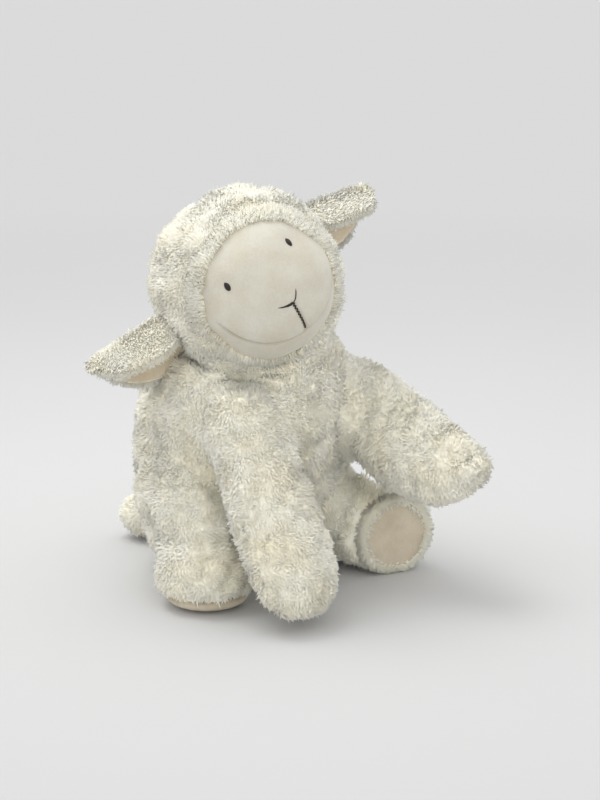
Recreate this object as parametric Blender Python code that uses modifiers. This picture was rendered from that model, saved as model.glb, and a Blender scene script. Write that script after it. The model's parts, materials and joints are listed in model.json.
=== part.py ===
# A plush sheep sitting on its seat: sewn fleece skins over stuffing, a velour face, folded
# ears lined with velour, and velour soles. The front is -Y, the sheep's own left is +X, up is
# +Z, and the origin is the middle of the flat that the seat rests on. Lengths are in metres.

import math

import bmesh
import bpy
from mathutils import Matrix, Vector
from mathutils.bvhtree import BVHTree

# Cloth and clearances
FLEECE_THICKNESS = 0.006
EAR_FLEECE_THICKNESS = 0.004
VELOUR_THICKNESS = 0.002
SEAM_GAP = 0.0003
JOINT_GAP = 0.0006
REST_DEPTH = 0.0005
HEAD_SEAT_GAP = -0.0008
OVERRUN = 0.02

# Body: a barrel that leans forward, narrower at the seat
BODY_HEIGHT = 0.172
BODY_WIDTH = 0.146
BODY_DEPTH = 0.128
CHEST_LEAN = 0.028
BODY_HEIGHT_SHARES = (0.0, 0.07, 0.22, 0.43, 0.62, 0.79, 0.92)
BODY_SIZE_SHARES = (0.60, 0.78, 0.90, 0.98, 1.0, 0.90, 0.66)
BODY_LEAN_SHARES = (-0.1, -0.1, 0.0, 0.1, 0.35, 0.8, 1.05)
NECK_HOLE_RADIUS = 0.022

# Bean bag that weighs the seat down
BEAN_BAG_WIDTH = 0.048
BEAN_BAG_HEIGHT = 0.022
BEAN_BAG_BACK = 0.011

# Head: a ball that tilts about a point in the neck
HEAD_RADIUS = 0.060
HEAD_RISE = 0.036
NECK_HEIGHT = 0.1575
NECK_FORWARD = 0.034
NECK_SIDE = 0.004
HEAD_TURN_DEG = 21.0
HEAD_PITCH_DEG = 6.0
HEAD_ROLL_DEG = 31.5
HEAD_TILT_RANGE_DEG = (0.0, 30.0)

# Face: a smooth velour dome that stands out of the head's front, parted by the mouth
FACE_WIDTH = 0.094
FACE_HEIGHT = 0.093
FACE_DEPTH = 0.090
FACE_FORWARD = 0.022
FACE_SEAM_FORWARD = 0.040
MOUTH_FORWARD = 0.0345
MOUTH_DROP = 0.030
MOUTH_SLOPE_DEG = 72.0
EYE_WIDTH = 0.0042
EYE_HEIGHT = 0.0058
EYE_DEPTH = 0.0030
EYE_SPREAD_DEG = {"left": 32.0, "right": 39.0}
EYE_RAISE_DEG = 28.0
THREAD_RADIUS = 0.0007
NOSE_DROP_DEG = 9.0
NOSE_ARM_SPREAD_DEG = 11.0
NOSE_ARM_RAISE_DEG = 5.5
NOSE_ARM_SAG_DEG = 0.4
LIP_LENGTH_DEG = 26.0

# Ears: folded leaves, hollow on the lower side
EAR_LENGTH = 0.055
EAR_WIDTH = 0.042
EAR_THICKNESS = 0.020
EAR_ROOT_RADIUS = 0.010
EAR_SET_IN = 0.004
EAR_BACK = 0.0013
EAR_RAISE = 0.0017
EAR_FOLD_OPENING = 0.0085
EAR_HOLLOW_OPENING = 0.012
EAR_LONG_SHARES = (0.38, 0.80)
EAR_WIDE_SHARES = (1.0, 0.80)
EAR_MOUTH = (0.0, -0.45, -1.0)
EAR_LIFT_DEG = {"left": -14.0, "right": 8.0}
EAR_SWEEP_DEG = {"left": 20.0, "right": 6.0}

# Arms: broad paddles, the right one hanging to the floor and the left one held out
ARM_LENGTH = {"left": 0.124, "right": 0.128}
ARM_WIDTH = 0.065
ARM_THICKNESS = 0.048
ARM_ROOT_RADIUS = 0.026
ARM_LONG_SHARES = (0.27, 0.52, 0.78, 0.95)
ARM_WIDE_SHARES = (0.90, 1.0, 1.02, 0.76)
ARM_THICK_SHARES = (1.0, 1.0, 0.92, 0.62)
ARM_SLANT_SHARES = (0.0, 0.10, 0.35, 0.45)
SHOULDER_SIDE = {"left": 0.058, "right": 0.048}
SHOULDER_FORWARD = {"left": 0.048, "right": 0.059}
SHOULDER_HEIGHT = {"left": 0.110, "right": 0.115}
ARM_DROP_DEG = {"left": 22.0, "right": 59.0}
ARM_INWARD_DEG = {"left": 8.0, "right": -4.0}
ARM_WIDE_ALONG = {"left": (0.5, 0.0, 0.85), "right": (1.0, 0.0, 0.0)}
ARM_SLANT = {"left": 0.022, "right": 0.0}

# Legs: the right one bent with its sole on the floor, the left one lying forward
THIGH_RADIUS = {"left": 0.027, "right": 0.0335}
HIP_SIDE = {"left": 0.047, "right": 0.052}
HIP_FORWARD = {"left": 0.023, "right": 0.011}
HIP_HEIGHT = {"left": 0.036, "right": 0.060}
LEG_LENGTH = 0.085
LEG_WIDTH = 0.060
LEG_WIDE_SHARES = {"left": (0.94, 0.92, 1.0, 0.94), "right": (1.04, 0.86, 1.12, 1.02)}
LEG_DEEP_SHARES = {"left": (0.90, 0.86, 0.86, 0.80), "right": (1.04, 0.86, 1.12, 1.02)}
LEG_SPINE_SHARES = {
    "left": ((0.065, -0.26, -0.08), (0.106, -0.45, -0.11),
             (0.135, -0.56, -0.12), (0.147, -0.68, -0.13)),
    "right": ((-0.08, -0.22, -0.08), (-0.13, -0.35, -0.27),
              (-0.14, -0.38, -0.46), (-0.14, -0.39, -0.62)),
}
SOLE_TURN_DEG = 17.0
SOLE_WIDTH = 0.054
SOLE_BULGE = 0.006

# Tail: a short fat tuft lying on the floor behind
TAIL_LENGTH = 0.052
TAIL_WIDTH = 0.033
TAIL_ROOT_RADIUS = 0.013
TAIL_BACK_SHARE = 0.39766
TAIL_TURN_DEG = 24.0
TAIL_LONG_SHARES = (0.52, 0.82)
TAIL_WIDE_SHARES = (1.0, 0.80)

# Facets of the round forms
BIG_SIDES = 12
LIMB_SIDES = 8
SMALL_SIDES = 6
FINE_STEP_DEG = 36
PLAIN_STEP_DEG = 45
BALL_SIDES = 12
BOWL_SIDES = 20

FLEECE_COLOUR = (0.78, 0.75, 0.66, 1.0)
VELOUR_COLOUR = (0.70, 0.65, 0.53, 1.0)
STUFFING_COLOUR = (0.85, 0.86, 0.86, 1.0)
THREAD_COLOUR = (0.012, 0.009, 0.007, 1.0)
CANVAS_COLOUR = (0.50, 0.43, 0.32, 1.0)


def remove_everything():
    for obj in list(bpy.data.objects):
        bpy.data.objects.remove(obj)


def new_collection(name):
    collection = bpy.data.collections.new(name)
    bpy.context.scene.collection.children.link(collection)
    return collection


def material(name, colour, roughness):
    made = bpy.data.materials.new(name)
    made.use_nodes = True
    shader = made.node_tree.nodes["Principled BSDF"]
    shader.inputs["Base Color"].default_value = colour
    shader.inputs["Roughness"].default_value = roughness
    shader.inputs["Metallic"].default_value = 0.0
    return made


def empty(name, place, parent=None):
    """A joint's empty: pieces that move with the joint are its children."""
    made = bpy.data.objects.new(name, None)
    parts.objects.link(made)
    made.matrix_local = place
    made.parent = parent
    return made


def piece(name, mesh, parent, colour, roughness):
    made = bpy.data.objects.new(name, mesh)
    parts.objects.link(made)
    made.parent = parent
    made.data.materials.append(material(name, colour, roughness))
    return made


def cutter(name, mesh, parent=None):
    made = bpy.data.objects.new(name, mesh)
    cutters.objects.link(made)
    made.parent = parent
    made.hide_render = True
    made.display_type = "WIRE"
    return made


def soften(obj, offset=0.0, fixed=False):
    """Rounds a coarse cage, then moves its surface out by the offset, or in by a negative one. Two
    cages that must nest closely are fixed, so that both are split into the same facets."""
    smooth = obj.modifiers.new("smooth", "SUBSURF")
    smooth.levels = 1
    smooth.render_levels = 1
    if offset or fixed:
        facets = obj.modifiers.new("facets", "TRIANGULATE")
        facets.quad_method = "FIXED"
    if offset:
        shift = obj.modifiers.new("shift", "DISPLACE")
        shift.strength = offset
        shift.mid_level = 0.0
    return obj


def boolean(obj, operation, other):
    made = obj.modifiers.new(other.name, "BOOLEAN")
    made.operation = operation
    made.object = other
    made.solver = "EXACT"


def cut(obj, *others):
    for other in others:
        boolean(obj, "DIFFERENCE", other)
    return obj


def smoothing(count):
    """How much a ring of this many corners must be enlarged to keep its size when it is rounded."""
    return 8 / (6 + 2 * math.cos(2 * math.pi / count))


def cage(name, start, rings, finish, across, sides):
    """A sphere whose rings each move along a spine. A ring is (centre, half width, half depth), and a
    fourth value slants it: how far its wide side runs ahead."""
    mesh = bpy.data.meshes.new(name)
    built = bmesh.new()
    bmesh.ops.create_uvsphere(built, u_segments=sides, v_segments=len(rings) + 1, radius=1.0)
    corners = sorted(built.verts, key=lambda corner: corner.co.z)
    corners[0].co = start
    corners[-1].co = finish
    centres = [start] + [ring[0] for ring in rings] + [finish]
    for index, (centre, half_width, half_depth, *slant) in enumerate(rings):
        along = (centres[index + 2] - centres[index]).normalized()
        wide = (across - along * across.dot(along)).normalized()
        deep = along.cross(wide)
        for corner in corners[1 + index * sides:1 + (index + 1) * sides]:
            turn = math.atan2(corner.co.y, corner.co.x)
            reach = wide * math.cos(turn) * half_width + deep * math.sin(turn) * half_depth
            ahead = along * math.cos(turn) * sum(slant)
            corner.co = centre + (reach + ahead) * smoothing(sides)
    built.to_mesh(mesh)
    built.free()
    return mesh


def ball_cage(name, centre, half_width, half_depth, half_height, sides, step_deg=FINE_STEP_DEG):
    """An ellipsoid's cage, its poles along Z."""
    steps = [math.radians(angle) for angle in range(step_deg - 90, 90, step_deg)]
    grow = smoothing(360 / step_deg)
    rings = [(centre + Vector((0, 0, half_height * math.sin(step) * grow)),
              half_width * math.cos(step) * grow, half_depth * math.cos(step) * grow)
             for step in steps]
    pole = Vector((0, 0, half_height))
    return cage(name, centre - pole, rings, centre + pole, Vector((1, 0, 0)), sides)


def domed_cage(name, root_radius, direction, rings, tip, across, sides):
    """A limb's cage: a half ball round the joint, at the origin, then the limb's own rings."""
    step = math.radians(PLAIN_STEP_DEG)
    grown = root_radius * smoothing(360 / PLAIN_STEP_DEG)
    dome = [(-direction * grown * math.sin(step), grown * math.cos(step), grown * math.cos(step)),
            (Vector((0, 0, 0)), root_radius, root_radius)]
    return cage(name, direction * -root_radius, dome + rings, tip, across, sides)


def sphere(name, radius, size=(1, 1, 1), sides=BALL_SIDES):
    """A ball at the origin, or an egg where the size holds unlike shares of the radius."""
    mesh = bpy.data.meshes.new(name)
    built = bmesh.new()
    bmesh.ops.create_uvsphere(built, u_segments=sides, v_segments=sides // 2,
                              radius=radius, matrix=Matrix.Diagonal((*size, 1)))
    built.to_mesh(mesh)
    built.free()
    return mesh


def room_for(radius, sides=BALL_SIDES):
    """The radius of a faceted ball that holds a round one of the given radius."""
    return radius / math.cos(math.pi / sides) ** 2


def rod(name, start, finish, radius):
    """A round bar between two points."""
    mesh = bpy.data.meshes.new(name)
    built = bmesh.new()
    axis = finish - start
    place = Matrix.Translation((start + finish) / 2) @ axis.to_track_quat("Z", "Y").to_matrix().to_4x4()
    bmesh.ops.create_cone(built, cap_ends=True, segments=16, radius1=radius, radius2=radius,
                          depth=axis.length, matrix=place)
    built.to_mesh(mesh)
    built.free()
    return mesh


def half_space(name, point, normal, parent=None):
    """A large block on the side of the plane that the normal points to."""
    mesh = bpy.data.meshes.new(name)
    built = bmesh.new()
    size = BODY_HEIGHT + HEAD_RADIUS
    turn = normal.to_track_quat("Z", "Y").to_matrix().to_4x4()
    lift = Matrix.Translation((0, 0, size))
    bmesh.ops.create_cube(built, size=size * 2, matrix=Matrix.Translation(point) @ turn @ lift)
    built.to_mesh(mesh)
    built.free()
    return cutter(name, mesh, parent)


def body_cage(name, sides):
    rings = [(Vector((0, -CHEST_LEAN * lean, BODY_HEIGHT * height - REST_DEPTH)),
              BODY_WIDTH / 2 * size, BODY_DEPTH / 2 * size)
             for height, size, lean in zip(BODY_HEIGHT_SHARES, BODY_SIZE_SHARES, BODY_LEAN_SHARES)]
    start = Vector((0, rings[0][0].y, -REST_DEPTH))
    finish = Vector((0, rings[-1][0].y, BODY_HEIGHT))
    return cage(name, start, rings, finish, Vector((1, 0, 0)), sides)


def body_wall(name, joint, root_radius, offset):
    """The body, moved out by the offset, less the ball that a limb's root fills."""
    wall = soften(cutter(name, body_cage(name, BIG_SIDES)), offset)
    ball = cutter(name + "_ball", sphere(name + "_ball", root_radius), joint)
    return cut(wall, ball)


def limb(name, joint, form, plain_form, root_radius, hole, flat_ends=()):
    """A limb's fleece skin and its stuffing, both cut to the body's side. The hole is the way in."""
    inner_radius = root_radius - FLEECE_THICKNESS
    skin = soften(piece(name + "_fleece", form, joint, FLEECE_COLOUR, 0.95))
    hollow = soften(cutter(name + "_hollow", plain_form, joint), -FLEECE_THICKNESS)
    stuffing = soften(piece(name + "_stuffing", plain_form.copy(), joint, STUFFING_COLOUR, 1.0),
                      -FLEECE_THICKNESS - SEAM_GAP)
    cut(skin, body_wall(name + "_wall", joint, root_radius, JOINT_GAP))
    cut(hollow, body_wall(name + "_hollow_wall", joint, inner_radius, FLEECE_THICKNESS + JOINT_GAP))
    cut(stuffing, body_wall(name + "_stuffing_wall", joint, inner_radius - SEAM_GAP,
                            FLEECE_THICKNESS + JOINT_GAP + SEAM_GAP))
    cut(skin, hollow, *hole, *flat_ends)
    cut(stuffing, *flat_ends)
    return skin, stuffing


def arm(side, sign):
    joint = empty(side + "_shoulder", Matrix.Translation(
        (sign * SHOULDER_SIDE[side], -SHOULDER_FORWARD[side], SHOULDER_HEIGHT[side])))
    drop = math.radians(ARM_DROP_DEG[side])
    inward = math.radians(ARM_INWARD_DEG[side])
    direction = Vector((-sign * math.sin(inward) * math.cos(drop),
                        -math.cos(inward) * math.cos(drop), -math.sin(drop)))
    length = ARM_LENGTH[side]
    slant = ARM_SLANT[side]
    rings = [(direction * length * along, ARM_WIDTH / 2 * wide, ARM_THICKNESS / 2 * thick, slant * ahead)
             for along, wide, thick, ahead in zip(ARM_LONG_SHARES, ARM_WIDE_SHARES, ARM_THICK_SHARES,
                                                  ARM_SLANT_SHARES)]
    forms = [domed_cage(f"{side}_arm_{sides}", ARM_ROOT_RADIUS, direction, rings,
                        direction * length, Vector(ARM_WIDE_ALONG[side]), sides)
             for sides in (LIMB_SIDES, SMALL_SIDES)]
    name = side + "_arm"
    way_in = cutter(name + "_way_in", rod(name + "_way_in", Vector((0, 0, 0)),
                                          direction * -(ARM_ROOT_RADIUS + OVERRUN),
                                          ARM_ROOT_RADIUS / 2), joint)
    limb(name, joint, *forms, ARM_ROOT_RADIUS, [way_in], [floor])
    return joint


def leg(side, sign, sole_normal):
    joint = empty(side + "_hip", Matrix.Translation(
        (sign * HIP_SIDE[side], -HIP_FORWARD[side], HIP_HEIGHT[side])))
    spine = [Vector(share) * LEG_LENGTH for share in LEG_SPINE_SHARES[side]]
    rings = [(centre, LEG_WIDTH / 2 * wide, LEG_WIDTH / 2 * deep)
             for centre, wide, deep in zip(spine, LEG_WIDE_SHARES[side], LEG_DEEP_SHARES[side])]
    direction = spine[0].normalized()
    end = spine[-1]
    forms = [domed_cage(f"{side}_leg_{sides}", THIGH_RADIUS[side], direction, rings,
                        end + sole_normal * OVERRUN, Vector((1, 0, 0)), sides)
             for sides in (LIMB_SIDES, SMALL_SIDES)]
    name = side + "_leg"
    sole_plane = half_space(name + "_sole_plane", end, sole_normal, joint)
    limb(name, joint, *forms, THIGH_RADIUS[side], [], [sole_plane, floor])
    sole = soften(piece(side + "_sole", ball_cage(side + "_sole", Vector((0, 0, 0)), SOLE_WIDTH / 2,
                                                  SOLE_WIDTH / 2, SOLE_BULGE, LIMB_SIDES),
                        joint, VELOUR_COLOUR, 0.85))
    sole.location = end + sole_normal * SEAM_GAP
    sole.rotation_euler = sole_normal.to_track_quat("Z", "Y").to_euler()
    back = half_space(side + "_sole_back", end + sole_normal * SEAM_GAP, -sole_normal, joint)
    cut(sole, back, floor)
    return joint


def ear(side, sign, head_joint):
    out = HEAD_RADIUS - EAR_SET_IN
    joint = empty(side + "_ear_root", Matrix.Translation((sign * out, EAR_BACK, HEAD_RISE + EAR_RAISE)),
                  head_joint)
    lift = math.radians(EAR_LIFT_DEG[side])
    sweep = math.radians(EAR_SWEEP_DEG[side])
    direction = Vector((sign * math.cos(lift) * math.cos(sweep), math.sin(sweep),
                        math.sin(lift) * math.cos(sweep)))
    opening = Vector(EAR_MOUTH)
    opening = (opening - direction * opening.dot(direction)).normalized()

    def leaf(name, shift, shrink):
        rings = [(direction * EAR_LENGTH * along + shift, (EAR_WIDTH / 2 - shrink) * wide,
                  (EAR_THICKNESS / 2 - shrink) * wide)
                 for along, wide in zip(EAR_LONG_SHARES, EAR_WIDE_SHARES)]
        return domed_cage(name, EAR_ROOT_RADIUS - shrink, direction, rings,
                          direction * (EAR_LENGTH - shrink) + shift, opening, SMALL_SIDES)

    name = side + "_ear"
    root_ball = cutter(name + "_ball", sphere(name + "_ball", EAR_ROOT_RADIUS), joint)
    socket = cutter(name + "_socket",
                    sphere(name + "_socket", room_for(EAR_ROOT_RADIUS + 2 * JOINT_GAP)), joint)
    head_wall = cut(soften(cutter(name + "_wall", head_cage(name + "_wall"), head_joint), JOINT_GAP),
                    root_ball)
    shift = opening * EAR_FOLD_OPENING
    fleece = soften(piece(name + "_fleece", leaf(name + "_fleece", Vector((0, 0, 0)), 0.0),
                          joint, FLEECE_COLOUR, 0.95), fixed=True)
    fold = soften(cutter(name + "_fold", leaf(name + "_fold", shift, EAR_FLEECE_THICKNESS), joint),
                  fixed=True)
    cut(fleece, head_wall, fold)
    lining = soften(piece(name + "_lining",
                          leaf(name + "_lining", shift, EAR_FLEECE_THICKNESS + SEAM_GAP),
                          joint, VELOUR_COLOUR, 0.85), fixed=True)
    inside = soften(cutter(name + "_inside",
                           leaf(name + "_inside", opening * EAR_HOLLOW_OPENING,
                                EAR_FLEECE_THICKNESS + VELOUR_THICKNESS), joint), fixed=True)
    brim = soften(cutter(name + "_brim", leaf(name + "_brim", Vector((0, 0, 0)), SEAM_GAP), joint),
                  fixed=True)
    boolean(lining, "INTERSECT", brim)
    cut(lining, inside)
    return joint, socket


def head_cage(name, sides=BIG_SIDES, step_deg=FINE_STEP_DEG):
    centre = Vector((0, 0, HEAD_RISE))
    return ball_cage(name, centre, HEAD_RADIUS, HEAD_RADIUS, HEAD_RADIUS, sides, step_deg)


def face_cage(name, sides=BIG_SIDES, step_deg=FINE_STEP_DEG):
    centre = Vector((0, -FACE_FORWARD, HEAD_RISE))
    return ball_cage(name, centre, FACE_WIDTH / 2, FACE_DEPTH / 2, FACE_HEIGHT / 2, sides, step_deg)


def on_face(spread_deg, raise_deg, face):
    """The point of the face's surface in a direction from the dome's centre, and the dome's normal."""
    spread = math.radians(spread_deg)
    lift = math.radians(raise_deg)
    unit = Vector((math.sin(spread) * math.cos(lift), -math.cos(spread) * math.cos(lift), math.sin(lift)))
    half = Vector((FACE_WIDTH / 2, FACE_DEPTH / 2, FACE_HEIGHT / 2))
    centre = Vector((0, -FACE_FORWARD, HEAD_RISE))
    normal = Vector((unit.x / half.x, unit.y / half.y, unit.z / half.z)).normalized()
    return face.ray_cast(centre, half * unit)[0], normal


def thread(name, directions, parent, skin, face):
    """A line of stitches laid over the face through points given as directions on its dome."""
    curve = bpy.data.curves.new(name, "CURVE")
    curve.dimensions = "3D"
    curve.bevel_depth = THREAD_RADIUS
    curve.bevel_resolution = 1
    curve.use_fill_caps = True
    line = curve.splines.new("POLY")
    line.points.add(len(directions) - 1)
    for point, direction in zip(line.points, directions):
        place, normal = on_face(*direction, face)
        point.co = (*(place + normal * THREAD_RADIUS / 2), 1.0)
    drawn = bpy.data.objects.new(name + "_line", curve)
    parts.objects.link(drawn)
    bpy.context.view_layer.update()
    evaluated = drawn.evaluated_get(bpy.context.evaluated_depsgraph_get())
    mesh = bpy.data.meshes.new_from_object(evaluated)
    bpy.data.objects.remove(drawn)
    built = bmesh.new()
    built.from_mesh(mesh)
    bmesh.ops.remove_doubles(built, verts=built.verts, dist=THREAD_RADIUS / 100)
    built.to_mesh(mesh)
    built.free()
    return cut(piece(name, mesh, parent, THREAD_COLOUR, 0.6), skin)


def head(neck):
    """The head's fleece and stuffing, the velour face over its own stuffing, eyes and stitches."""
    skin = soften(piece("head_fleece", head_cage("head_fleece"), neck, FLEECE_COLOUR, 0.95))
    hollow = soften(cutter("head_hollow", head_cage("head_hollow", SMALL_SIDES, PLAIN_STEP_DEG), neck),
                    -FLEECE_THICKNESS)
    face_room = soften(cutter("face_room", face_cage("face_room"), neck), SEAM_GAP)
    neck_hole = cutter("head_neck_hole", rod("head_neck_hole", Vector((0, 0, HEAD_RISE)),
                                             Vector((0, 0, HEAD_RISE - HEAD_RADIUS - OVERRUN)),
                                             NECK_HOLE_RADIUS), neck)
    cut(skin, hollow, face_room, neck_hole)
    stuffing = soften(piece("head_stuffing", head_cage("head_stuffing", SMALL_SIDES, PLAIN_STEP_DEG),
                            neck, STUFFING_COLOUR, 1.0), -FLEECE_THICKNESS - SEAM_GAP)
    cut(stuffing, face_room)

    inside = soften(cutter("face_inside", face_cage("face_inside"), neck), -VELOUR_THICKNESS)
    behind = half_space("face_seam", Vector((0, -FACE_SEAM_FORWARD, HEAD_RISE)), Vector((0, 1, 0)), neck)
    slope = math.radians(MOUTH_SLOPE_DEG)
    mouth_normal = Vector((0, math.sin(slope), -math.cos(slope)))
    mouth_point = Vector((0, -FACE_FORWARD - MOUTH_FORWARD, HEAD_RISE - MOUTH_DROP))
    below = half_space("mouth_below", mouth_point - mouth_normal * SEAM_GAP / 2, mouth_normal, neck)
    above = half_space("mouth_above", mouth_point + mouth_normal * SEAM_GAP / 2, -mouth_normal, neck)
    panel = soften(piece("face_panel", face_cage("face_panel"), neck, VELOUR_COLOUR, 0.85))
    cut(panel, inside, behind, below)
    chin = soften(piece("chin_panel", face_cage("chin_panel"), neck, VELOUR_COLOUR, 0.85))
    cut(chin, inside, behind, above)
    soften(piece("muzzle_stuffing", face_cage("muzzle_stuffing"), neck, STUFFING_COLOUR, 1.0),
           -VELOUR_THICKNESS - SEAM_GAP)

    bpy.context.view_layer.update()
    face = BVHTree.FromObject(face_room, bpy.context.evaluated_depsgraph_get())
    for side, sign in (("left", 1), ("right", -1)):
        place, normal = on_face(sign * EYE_SPREAD_DEG[side], EYE_RAISE_DEG, face)
        form = sphere(side + "_eye", EYE_HEIGHT / 2, (EYE_WIDTH / EYE_HEIGHT, 1, EYE_DEPTH / EYE_HEIGHT))
        eye = piece(side + "_eye", form, neck, THREAD_COLOUR, 0.4)
        eye.location = place
        eye.rotation_euler = normal.to_track_quat("Z", "Y").to_euler()
        cut(eye, face_room)

    nose = (0.0, -NOSE_DROP_DEG)
    arm_tip = NOSE_ARM_SPREAD_DEG, -NOSE_DROP_DEG + NOSE_ARM_RAISE_DEG
    halfway = arm_tip[0] / 2, (arm_tip[1] + nose[1]) / 2 - NOSE_ARM_SAG_DEG
    arms = [(-arm_tip[0], arm_tip[1]), (-halfway[0], halfway[1]), nose, halfway, arm_tip]
    thread("nose_stitch", arms, neck, face_room, face)
    reach = FACE_DEPTH / 2
    first = -NOSE_DROP_DEG - math.degrees((2 * THREAD_RADIUS + SEAM_GAP) / reach)
    step = (-NOSE_DROP_DEG - LIP_LENGTH_DEG - first) / 3
    thread("lip_stitch", [(0.0, first + step * count) for count in range(4)], neck,
           face_room, face)
    return skin, stuffing


def body(neck, joints, tilted):
    """The body's fleece, its stuffing and the bean bag, with round hollows where limbs are sewn on."""
    skin = soften(piece("body_fleece", body_cage("body_fleece", BIG_SIDES), None, FLEECE_COLOUR, 0.95))
    hollow = soften(cutter("body_hollow", body_cage("body_hollow", SMALL_SIDES)), -FLEECE_THICKNESS)
    stuffing = soften(piece("body_stuffing", body_cage("body_stuffing", SMALL_SIDES), None,
                            STUFFING_COLOUR, 1.0), -FLEECE_THICKNESS - SEAM_GAP)
    cut(skin, head_bowl("head_bowl", tilted, HEAD_SEAT_GAP))
    cut(hollow, head_bowl("hollow_bowl", tilted, HEAD_SEAT_GAP + FLEECE_THICKNESS))
    cut(stuffing, head_bowl("stuffing_bowl", tilted, HEAD_SEAT_GAP + FLEECE_THICKNESS + SEAM_GAP))
    neck_place = neck.matrix_local.translation
    neck_hole = cutter("body_neck_hole", rod("body_neck_hole", neck_place,
                                             neck_place - Vector((0, 0, HEAD_RADIUS)),
                                             NECK_HOLE_RADIUS))
    cut(skin, hollow, neck_hole, floor)
    for joint, root_radius in joints:
        name = joint.name + "_socket"
        socket = cutter(name, sphere(name, room_for(root_radius + SEAM_GAP)), joint)
        cut(skin, socket)
        cut(stuffing, socket)
    floor_inside = FLEECE_THICKNESS - REST_DEPTH + SEAM_GAP
    bag_form = ball_cage("seat_bean_bag", Vector((0, BEAN_BAG_BACK, floor_inside + BEAN_BAG_HEIGHT / 3)),
                         BEAN_BAG_WIDTH / 2, BEAN_BAG_WIDTH / 2, BEAN_BAG_HEIGHT * 2 / 3,
                         SMALL_SIDES, PLAIN_STEP_DEG)
    bag = soften(piece("seat_bean_bag", bag_form, None, CANVAS_COLOUR, 0.9))
    bag_room = soften(cutter("bean_bag_room", bag_form), SEAM_GAP)
    inside = soften(cutter("bean_bag_floor", body_cage("bean_bag_floor", SMALL_SIDES)),
                    -FLEECE_THICKNESS - SEAM_GAP)
    boolean(bag, "INTERSECT", inside)
    cut(stuffing, bag_room)


def head_bowl(name, tilted, offset):
    """What the head's ball takes up as it tilts, grown by the offset: the hull of its two end places."""
    mesh = bpy.data.meshes.new(name)
    built = bmesh.new()
    for centre in tilted:
        bmesh.ops.create_uvsphere(built, u_segments=BOWL_SIDES, v_segments=BOWL_SIDES // 2,
                                  radius=room_for(HEAD_RADIUS + offset, BOWL_SIDES),
                                  matrix=Matrix.Translation(centre))
    bmesh.ops.delete(built, geom=built.edges, context="EDGES_FACES")
    bmesh.ops.convex_hull(built, input=built.verts)
    inner = [corner for corner in built.verts if not corner.link_faces]
    bmesh.ops.delete(built, geom=inner, context="VERTS")
    bmesh.ops.recalc_face_normals(built, faces=built.faces)
    built.to_mesh(mesh)
    built.free()
    return cutter(name, mesh)


def tail():
    joint = empty("tail_root", Matrix.Translation(
        (0, BODY_DEPTH * TAIL_BACK_SHARE, TAIL_WIDTH / 2 - REST_DEPTH)))
    turn = math.radians(TAIL_TURN_DEG)
    direction = Vector((-math.sin(turn), math.cos(turn), 0))
    rings = [(direction * TAIL_LENGTH * along, TAIL_WIDTH / 2 * wide, TAIL_WIDTH / 2 * wide)
             for along, wide in zip(TAIL_LONG_SHARES, TAIL_WIDE_SHARES)]
    forms = [domed_cage(f"tail_{copy}", TAIL_ROOT_RADIUS, direction, rings, direction * TAIL_LENGTH,
                        Vector((1, 0, 0)), SMALL_SIDES) for copy in ("form", "plain")]
    way_in = cutter("tail_way_in", rod("tail_way_in", Vector((0, 0, 0)),
                                       direction * -(TAIL_ROOT_RADIUS + OVERRUN),
                                       TAIL_ROOT_RADIUS / 4), joint)
    limb("tail", joint, *forms, TAIL_ROOT_RADIUS, [way_in], [floor])
    return joint


remove_everything()
parts = new_collection("plush_sheep")
cutters = new_collection("cutters")
cutters.hide_render = True
floor = half_space("floor", Vector((0, 0, 0)), Vector((0, 0, -1)))

head_turn = (Matrix.Rotation(math.radians(-HEAD_TURN_DEG), 4, "Z")
             @ Matrix.Rotation(math.radians(-HEAD_PITCH_DEG), 4, "X")
             @ Matrix.Rotation(math.radians(-HEAD_ROLL_DEG), 4, "Y"))
neck_place = Matrix.Translation((NECK_SIDE, -NECK_FORWARD, NECK_HEIGHT))
neck = empty("neck", neck_place @ head_turn)
head_middle = Vector((0, 0, HEAD_RISE))
head_ends = [neck_place @ head_turn @ Matrix.Rotation(math.radians(angle), 4, "Y") @ head_middle
             for angle in HEAD_TILT_RANGE_DEG]

limb_joints = [(arm("left", 1), ARM_ROOT_RADIUS), (arm("right", -1), ARM_ROOT_RADIUS)]
sole_turn = math.radians(SOLE_TURN_DEG)
sole_forward = Vector((-math.sin(sole_turn), -math.cos(sole_turn), 0))
limb_joints.append((leg("left", 1, sole_forward), THIGH_RADIUS["left"]))
limb_joints.append((leg("right", -1, Vector((0, 0, -1))), THIGH_RADIUS["right"]))
limb_joints.append((tail(), TAIL_ROOT_RADIUS))

head_skins = head(neck)
for ear_side, ear_sign in (("left", 1), ("right", -1)):
    ear_joint, ear_socket = ear(ear_side, ear_sign, neck)
    for skin in head_skins:
        cut(skin, ear_socket)

body(neck, limb_joints, head_ends)

for part in parts.objects:
    if part.type == "MESH":
        part.data.shade_smooth()
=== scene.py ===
import json
import math

import bmesh
import bpy
import numpy as np
from mathutils import Matrix, Vector, noise
from mathutils.bvhtree import BVHTree
from mathutils.kdtree import KDTree

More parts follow.
